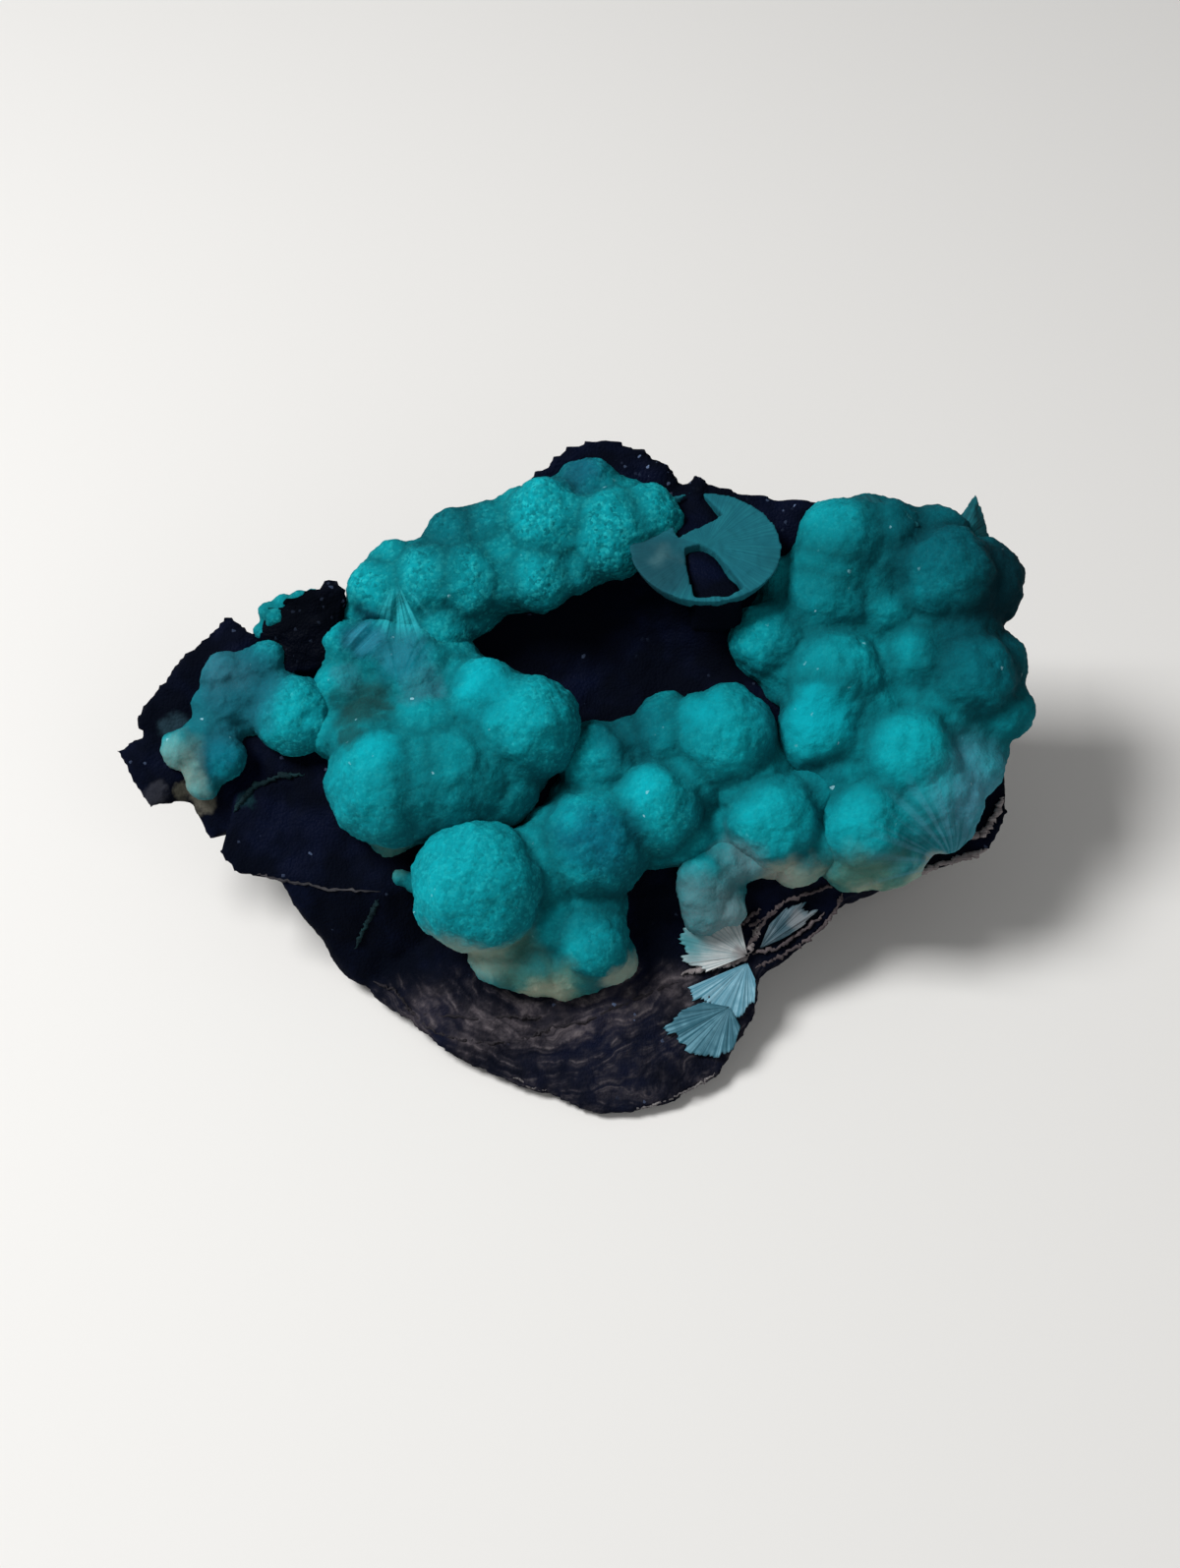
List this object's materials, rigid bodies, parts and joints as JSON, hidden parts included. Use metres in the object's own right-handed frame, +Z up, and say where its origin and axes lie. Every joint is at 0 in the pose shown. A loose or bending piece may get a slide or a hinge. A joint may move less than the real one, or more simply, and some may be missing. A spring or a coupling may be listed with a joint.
{
  "type": "wavellite specimen",
  "caption": "Loose hand specimen: round balls of green wavellite over the sloping face of a dark broken rock, which rests on its flat underside.",
  "frame": {"origin": "a point of the flat underside, under the middle of the crystal face", "axes": "+Z up from the flat underside, +X along the specimen's length to its right, -Y the way the crystal face slopes down, which is the front"},
  "size_m": [0.0553, 0.0351, 0.0227],
  "materials": {
    "black_rock": "dull near-black broken stone with brown streaks and a few sparkling grains",
    "wavellite_green": "velvety blue-green crystal balls, slightly translucent",
    "broken_crystal": "silky pale blue-grey broken crystal blades"
  },
  "bodies": {
    "root": {"matrix": "black_rock", "wavellite_crust": "wavellite_green", "rim_crust": "wavellite_green", "front_fan": "broken_crystal", "side_fan": "broken_crystal"}
  },
  "joints": []
}
